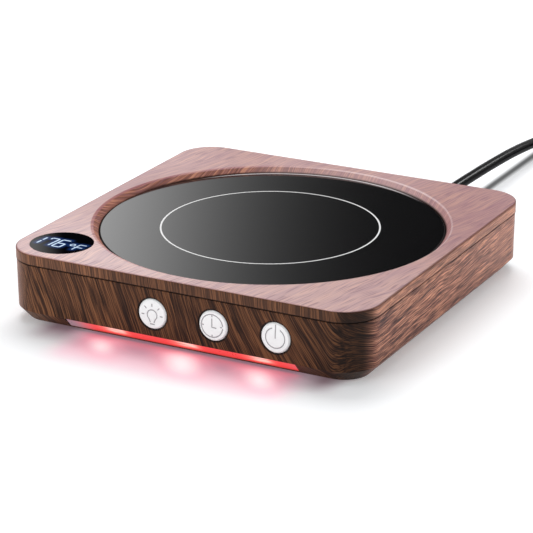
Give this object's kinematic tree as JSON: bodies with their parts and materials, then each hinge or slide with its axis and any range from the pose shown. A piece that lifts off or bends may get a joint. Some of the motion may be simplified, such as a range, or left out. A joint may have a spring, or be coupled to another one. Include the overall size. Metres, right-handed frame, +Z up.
{
  "type": "electric mug warmer",
  "caption": "Low square wood-look mug warmer with a sunk round glass hotplate, corner display, front push buttons, front light strip and a coiled mains lead.",
  "frame": {"origin": "on the table, under the middle of the case, level with the undersides of the rubber feet", "axes": "+Z up out of the glass plate, -Y out of the front with the buttons, +X to the right seen from the front"},
  "size_m": [0.173, 0.3406, 0.0267],
  "materials": {
    "walnut_film": "moulded plastic under a satin walnut-grain film",
    "black_glass": "black back-printed ceramic glass with a polished edge",
    "black_silicone": "matte silicone",
    "aluminium_disc": "stamped",
    "mica_heater": "mica sheet over an etched foil element",
    "fibre_pad": "ceramic fibre",
    "pressed_steel": "zinc plated",
    "screw_steel": "nickel plated",
    "sensor_resin": "dipped resin",
    "fuse_metal": "drawn capsule",
    "smoked_lens": "polished smoked acrylic",
    "white_plastic": "moulded",
    "circuit_board": "green solder mask",
    "button_white": "satin moulded with fine grey engraved signs",
    "black_plastic": "moulded",
    "diffuser_red": "milky acrylic lit red from behind",
    "lamp_epoxy": "clear yellow epoxy",
    "tape_yellow": "wound tape",
    "can_blue": "shrink sleeve",
    "relay_blue": "moulded",
    "terminal_green": "moulded",
    "fuse_ceramic": "ceramic tube with plated caps",
    "cord_pvc": "satin PVC",
    "foot_rubber": "matte",
    "blade_brass": "nickel plated brass"
  },
  "bodies": {
    "case": {"top_cover": "walnut_film", "lower_shell": "walnut_film", "glass_plate": "black_glass", "glass_seal": "black_silicone", "heat_spreader": "aluminium_disc", "heating_element": "mica_heater", "insulation_pad": "fibre_pad", "heater_bracket": "pressed_steel", "bracket_screws": "screw_steel", "thermistor": "sensor_resin", "thermal_fuse": "fuse_metal", "fuse_clip": "pressed_steel", "display_lens": "smoked_lens", "display_digits": "white_plastic", "display_board": "circuit_board", "display_screws": "screw_steel", "button_board": "circuit_board", "switch_bodies": "black_plastic", "board_screws": "screw_steel", "light_diffuser": "diffuser_red", "light_board": "white_plastic", "light_lamps": "lamp_epoxy", "main_board": "circuit_board", "transformer": "tape_yellow", "capacitors": "can_blue", "relay": "relay_blue", "mains_fuse": "fuse_ceramic", "terminal_block": "terminal_green", "buzzer": "black_plastic", "main_board_screws": "screw_steel", "case_screws": "screw_steel", "rubber_feet": "foot_rubber", "cord_relief": "cord_pvc", "inner_cord": "cord_pvc", "cord_clamp": "white_plastic", "clamp_screws": "screw_steel", "power_cord": "cord_pvc", "cord_coil": "cord_pvc", "cord_tail": "cord_pvc", "cord_tie": "black_plastic", "plug_body": "cord_pvc", "plug_blades": "blade_brass"},
    "light_key": {"button_light": "button_white", "plunger_light": "black_plastic"},
    "timer_key": {"button_timer": "button_white", "plunger_timer": "black_plastic"},
    "power_key": {"button_power": "button_white", "plunger_power": "black_plastic"}
  },
  "joints": [
    {"name": "light_press", "type": "slide", "parent": "case", "child": "light_key", "axis": [0, 1, 0], "range_m": [0, 0.0005], "stiffness_N_per_m": 800},
    {"name": "timer_press", "type": "slide", "parent": "case", "child": "timer_key", "axis": [0, 1, 0], "range_m": [0, 0.0005], "stiffness_N_per_m": 800},
    {"name": "power_press", "type": "slide", "parent": "case", "child": "power_key", "axis": [0, 1, 0], "range_m": [0, 0.0005], "stiffness_N_per_m": 800}
  ]
}
